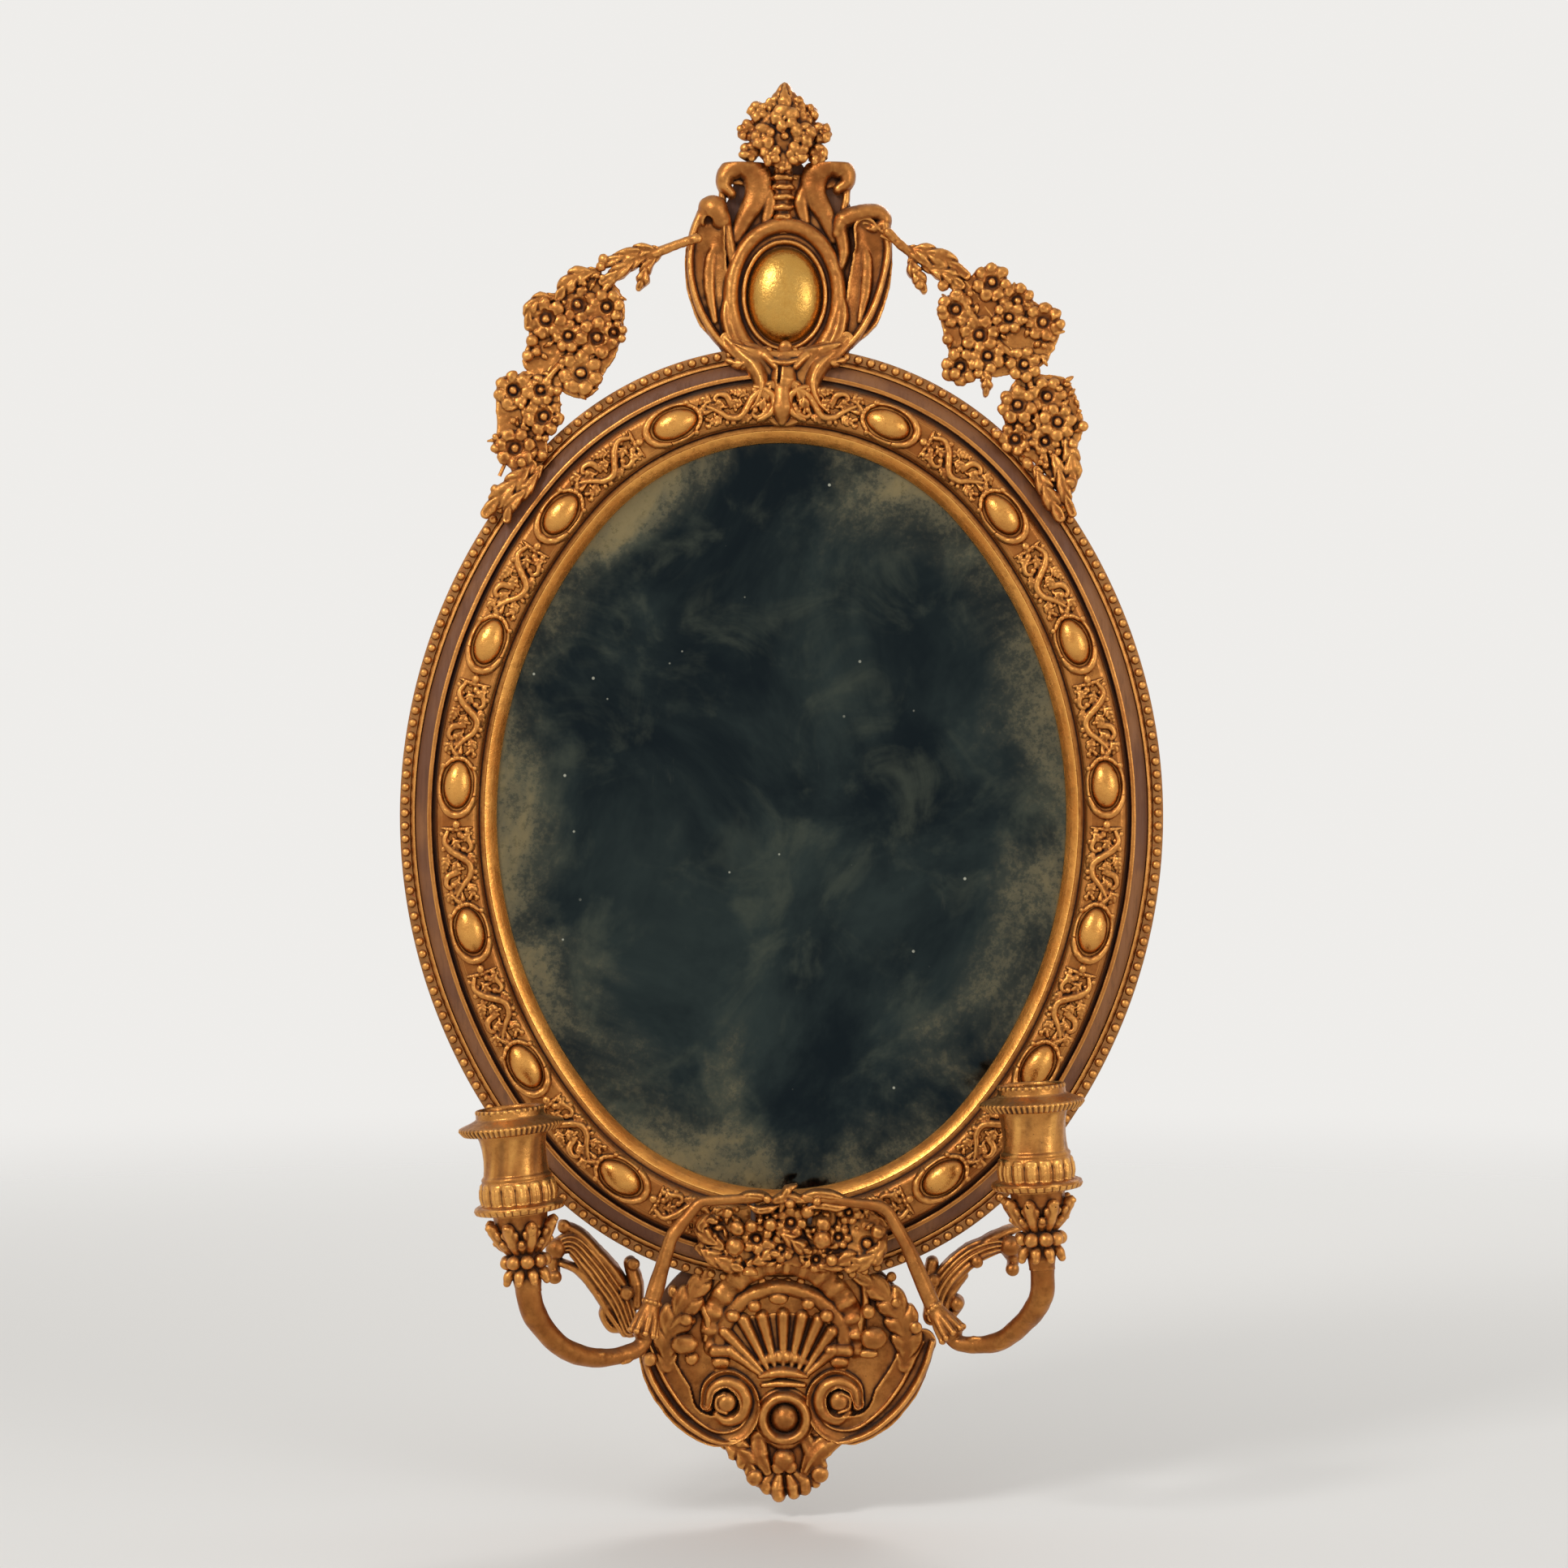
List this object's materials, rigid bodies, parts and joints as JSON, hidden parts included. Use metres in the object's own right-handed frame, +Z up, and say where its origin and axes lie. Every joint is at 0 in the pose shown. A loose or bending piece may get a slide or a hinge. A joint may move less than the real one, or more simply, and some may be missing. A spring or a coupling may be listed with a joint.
{
  "type": "girandole mirror",
  "caption": "Oval gilt wall mirror with carved crest, flower garlands, shell apron and two candle arms with lift-out drip pans.",
  "frame": {"origin": "centre of the oval on the flat back, which lies against the wall", "axes": "+Z up, +Y towards the wall, so the mirror faces -Y, and +X to the right as one faces it"},
  "size_m": [0.491, 0.143, 0.9146],
  "materials": {
    "gilt_wood": "satin",
    "gilt_composition": "satin",
    "bright_gilt": "satin",
    "burnished_gilt": "gloss",
    "mirror_glass": "gloss",
    "old_pine": "matte",
    "gilt_brass": "satin",
    "iron_wire": "matte",
    "iron_nail": "matte",
    "hanger_brass": "satin"
  },
  "bodies": {
    "frame": {"apron_arch": "gilt_composition", "apron_backplate": "gilt_wood", "apron_batten": "old_pine", "apron_boss": "gilt_composition", "apron_flowers": "gilt_composition", "apron_pendant": "gilt_composition", "apron_scroll_left": "gilt_composition", "apron_scroll_right": "gilt_composition", "apron_shell": "gilt_composition", "apron_side_leaves": "gilt_composition", "arm_husk_left": "gilt_composition", "arm_husk_right": "gilt_composition", "arm_left": "gilt_composition", "arm_right": "gilt_composition", "arm_wire_left": "iron_wire", "arm_wire_right": "iron_wire", "backboard_nails": "iron_nail", "backboard_planks": "old_pine", "batten_screws": "iron_nail", "bead_collar_left": "gilt_composition", "bead_collar_right": "gilt_composition", "candle_nozzle_left": "gilt_wood", "candle_nozzle_right": "gilt_wood", "crest_backplate": "gilt_wood", "crest_batten": "old_pine", "crest_bud": "gilt_composition", "crest_cabochon": "burnished_gilt", "crest_cabochon_ring": "gilt_composition", "crest_flower": "gilt_composition", "crest_foot": "gilt_composition", "crest_scrolls": "gilt_composition", "crest_stem": "gilt_composition", "crest_wing_left": "gilt_composition", "crest_wing_right": "gilt_composition", "cup_calyx_left": "gilt_composition", "cup_calyx_right": "gilt_composition", "egg_cabochons": "gilt_composition", "egg_rims": "gilt_composition", "frame_core_bottom": "gilt_wood", "frame_core_left": "gilt_wood", "frame_core_right": "gilt_wood", "frame_core_top": "gilt_wood", "garland_flowers_left": "gilt_composition", "garland_flowers_right": "gilt_composition", "garland_leaves_left": "gilt_composition", "garland_leaves_right": "gilt_composition", "garland_wire_left": "iron_wire", "garland_wire_right": "iron_wire", "glass_blocks": "old_pine", "hanger_plates": "hanger_brass", "hanger_screws": "hanger_brass", "lower_scrolls": "gilt_composition", "mirror_plate": "mirror_glass", "outer_beading": "gilt_composition", "sight_moulding": "bright_gilt", "vine_ornament": "gilt_composition"},
    "ring_left": {"hanger_ring_left": "hanger_brass"},
    "pan_left": {"drip_pan_left": "gilt_brass"},
    "ring_right": {"hanger_ring_right": "hanger_brass"},
    "pan_right": {"drip_pan_right": "gilt_brass"}
  },
  "joints": [
    {"name": "ring_left_swing", "type": "hinge", "parent": "frame", "child": "ring_left", "pos_m": [-0.206, -0.003, 0.096], "axis": [1, 0, 0], "range_deg": [0, 175]},
    {"name": "pan_left_lift", "type": "slide", "parent": "frame", "child": "pan_left", "axis": [-0.1045, 0, 0.9945], "range_m": [0, 0.045]},
    {"name": "ring_right_swing", "type": "hinge", "parent": "frame", "child": "ring_right", "pos_m": [0.206, -0.003, 0.096], "axis": [1, 0, 0], "range_deg": [0, 175]},
    {"name": "pan_right_lift", "type": "slide", "parent": "frame", "child": "pan_right", "axis": [-0.061, 0, 0.9981], "range_m": [0, 0.045]}
  ]
}
